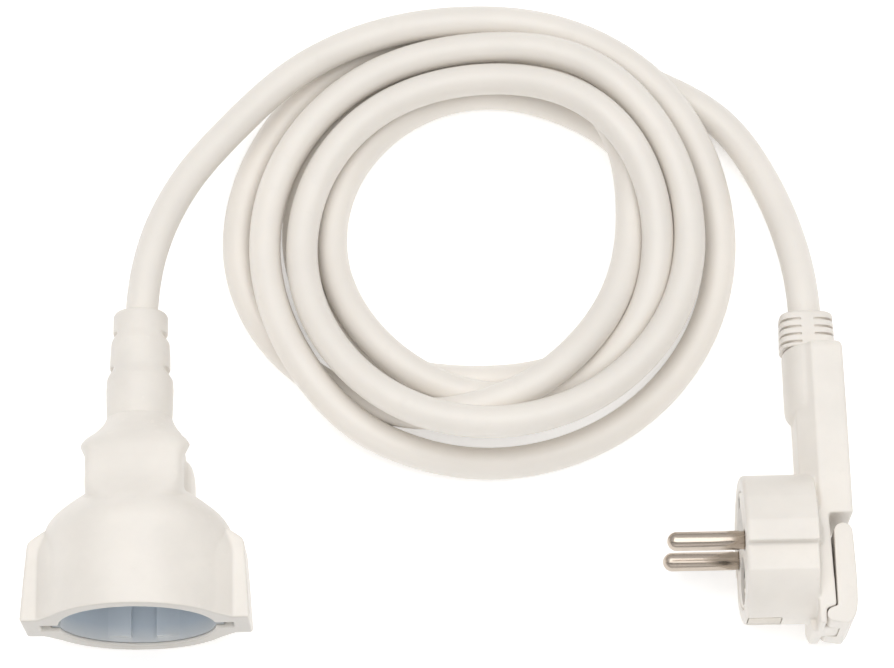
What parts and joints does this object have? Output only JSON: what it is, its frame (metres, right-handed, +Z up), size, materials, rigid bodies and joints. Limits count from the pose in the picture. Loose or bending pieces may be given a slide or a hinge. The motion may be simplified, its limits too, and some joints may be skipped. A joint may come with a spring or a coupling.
{
  "type": "extension cord",
  "caption": "Ivory extension cord: earthed coupling socket with side ears, round cable laid in a loose coil, flat angled plug with a fold-out pull lever.",
  "frame": {"origin": "on the table under the middle of the coupling socket, without the cable and what is on it", "axes": "+Y from the coupling's mouth towards its cable, +X towards the plug, +Z up from the table"},
  "size_m": [0.2062, 0.1817, 0.047],
  "materials": {
    "ivory_housing": "fine moulded ivory plastic, slightly satin",
    "ivory_relief": "soft ivory moulding, matt",
    "insert_plastic": "hard cool grey white plastic",
    "contact_brass": "stamped brass",
    "nickel": "bright nickel plate",
    "core_brown": "brown core insulation",
    "core_blue": "blue core insulation",
    "core_earth": "green and yellow core insulation",
    "cable_sheath": "smooth ivory cable sheath with a soft sheen"
  },
  "bodies": {
    "cord_set": {"coupling_housing": "ivory_housing", "coupling_strain_relief": "ivory_relief", "socket_insert": "insert_plastic", "contact_carrier": "insert_plastic", "line_contact_sleeve": "contact_brass", "neutral_contact_sleeve": "contact_brass", "earth_bridge": "nickel", "line_core_socket": "core_brown", "neutral_core_socket": "core_blue", "earth_core_socket": "core_earth", "plug_housing": "ivory_housing", "pin_bridge": "ivory_housing", "pin_line": "nickel", "pin_neutral": "nickel", "plug_earth_bracket": "nickel", "earth_socket_sleeve": "nickel", "lever_hinge_pin": "nickel", "plug_strain_relief": "ivory_relief", "line_core_plug": "core_brown", "neutral_core_plug": "core_blue", "earth_core_plug": "core_earth", "cord_socket_lead": "cable_sheath", "cord_coil": "cable_sheath", "cord_plug_lead": "cable_sheath"},
    "lever": {"pull_lever": "ivory_housing"},
    "left_clip": {"earth_clip_left": "nickel"},
    "right_clip": {"earth_clip_right": "nickel"}
  },
  "joints": [
    {"name": "pull_lever_hinge", "type": "hinge", "parent": "cord_set", "child": "lever", "pos_m": [0.1719, -0.0429, 0.0187], "axis": [0, 0, -1], "range_deg": [0, 75]},
    {"name": "left_clip_flex", "type": "hinge", "parent": "cord_set", "child": "left_clip", "pos_m": [-0.0207, -0.0225, 0.0235], "axis": [0, 0, -1], "range_deg": [0, 4], "stiffness_Nm_per_rad": 0.5},
    {"name": "right_clip_flex", "type": "hinge", "parent": "cord_set", "child": "right_clip", "pos_m": [0.0207, -0.0225, 0.0235], "axis": [0, 0, 1], "range_deg": [0, 4], "stiffness_Nm_per_rad": 0.5}
  ]
}
